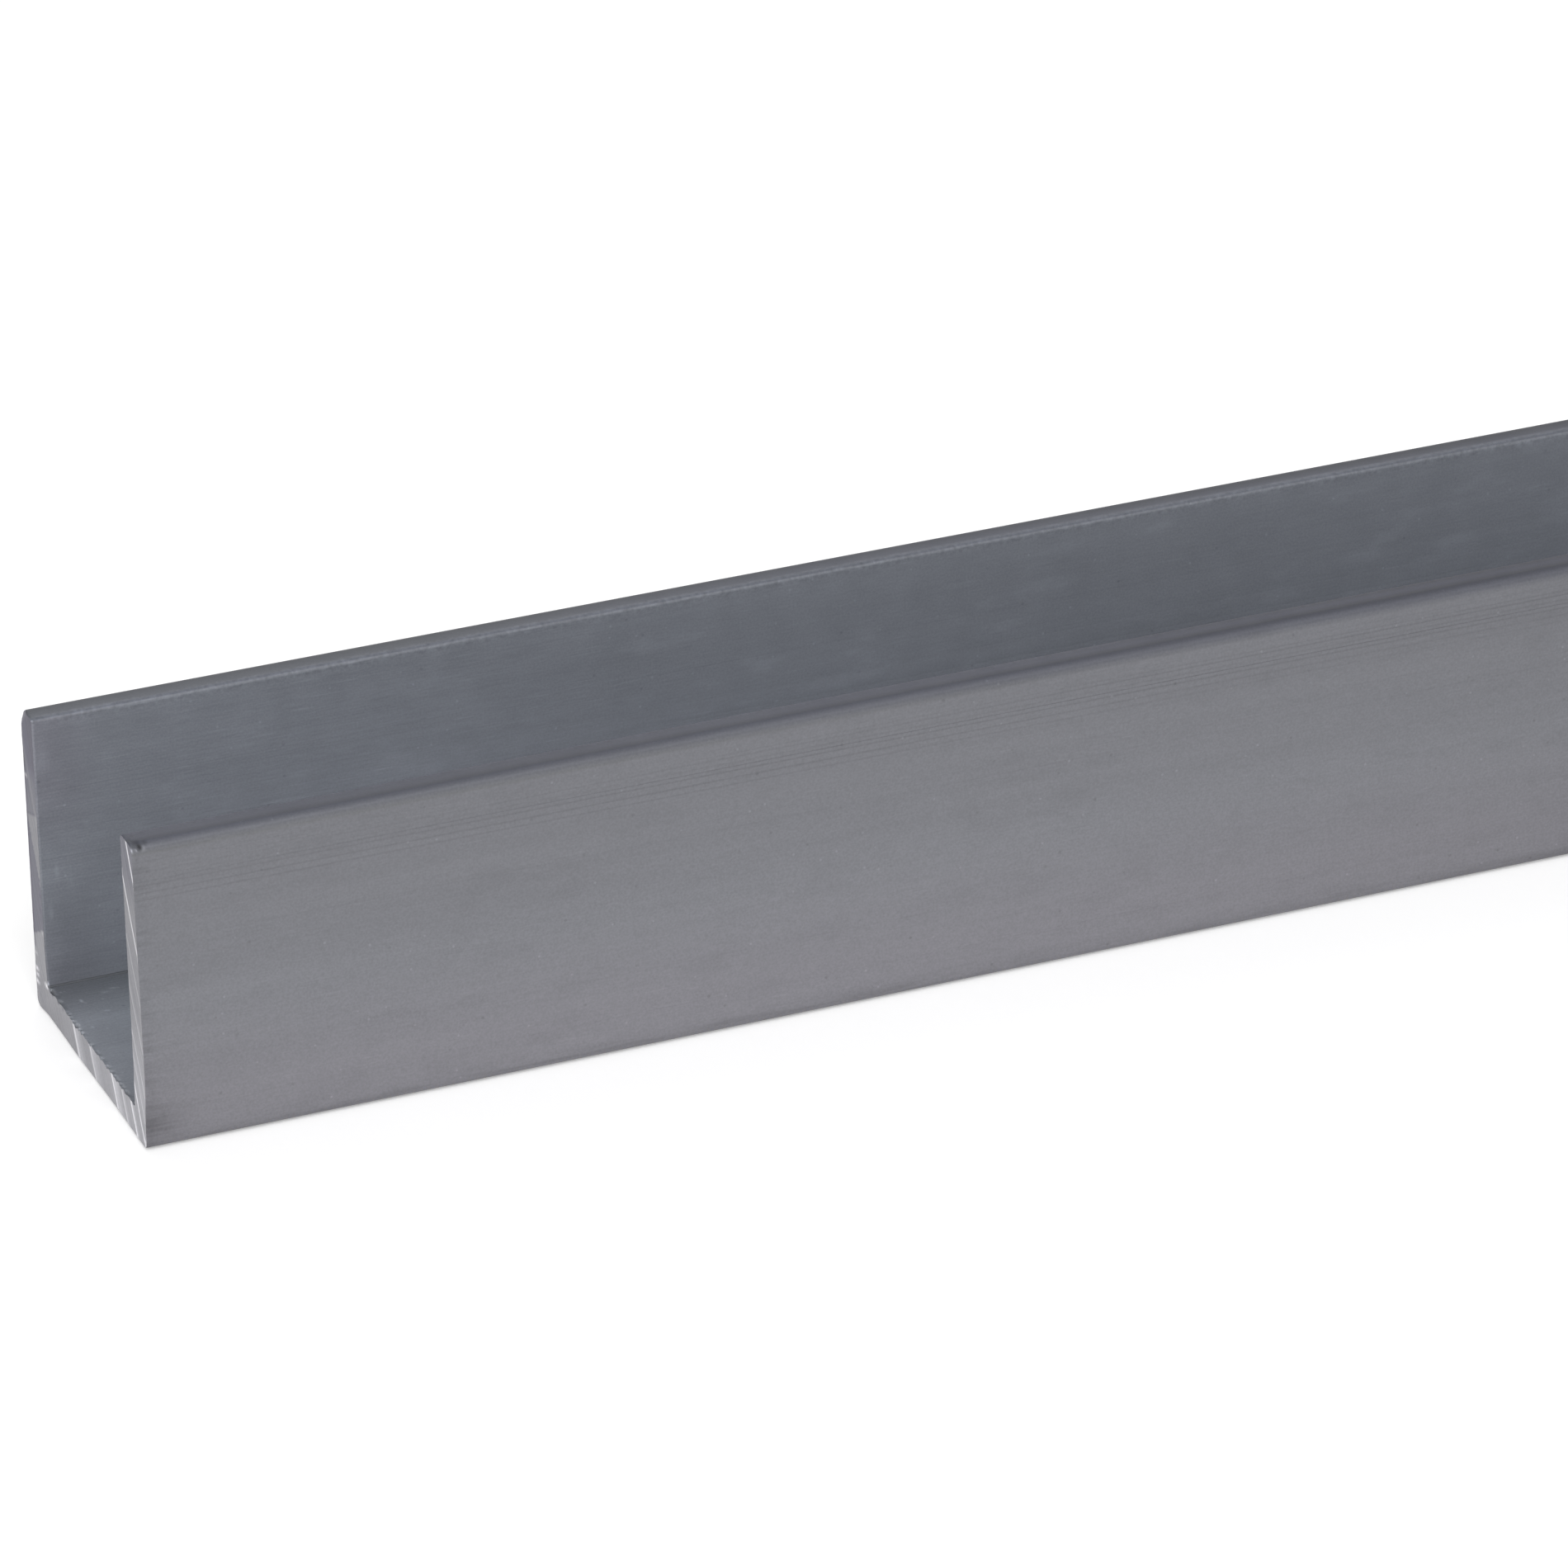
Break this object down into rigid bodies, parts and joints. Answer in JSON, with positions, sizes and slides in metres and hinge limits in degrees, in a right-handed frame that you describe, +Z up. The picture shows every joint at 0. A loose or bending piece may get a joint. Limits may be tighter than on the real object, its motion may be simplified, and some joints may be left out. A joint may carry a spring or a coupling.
{
  "type": "aluminium channel section",
  "caption": "Straight length of extruded aluminium U-channel with a square outside section, sharp inside corners, rounded flange tips and square sawn ends.",
  "frame": {"origin": "centre of the bar's length and width, on the underside of the web", "axes": "+X along the bar, +Y across it from flange to flange, +Z up out of the open side of the groove"},
  "size_m": [0.5, 0.02, 0.02],
  "materials": {
    "mill_aluminium": "mill finish as extruded, satin with fine die lines along the bar, and bright saw marks on the cut ends"
  },
  "bodies": {
    "root": {"channel": "mill_aluminium"}
  },
  "joints": []
}
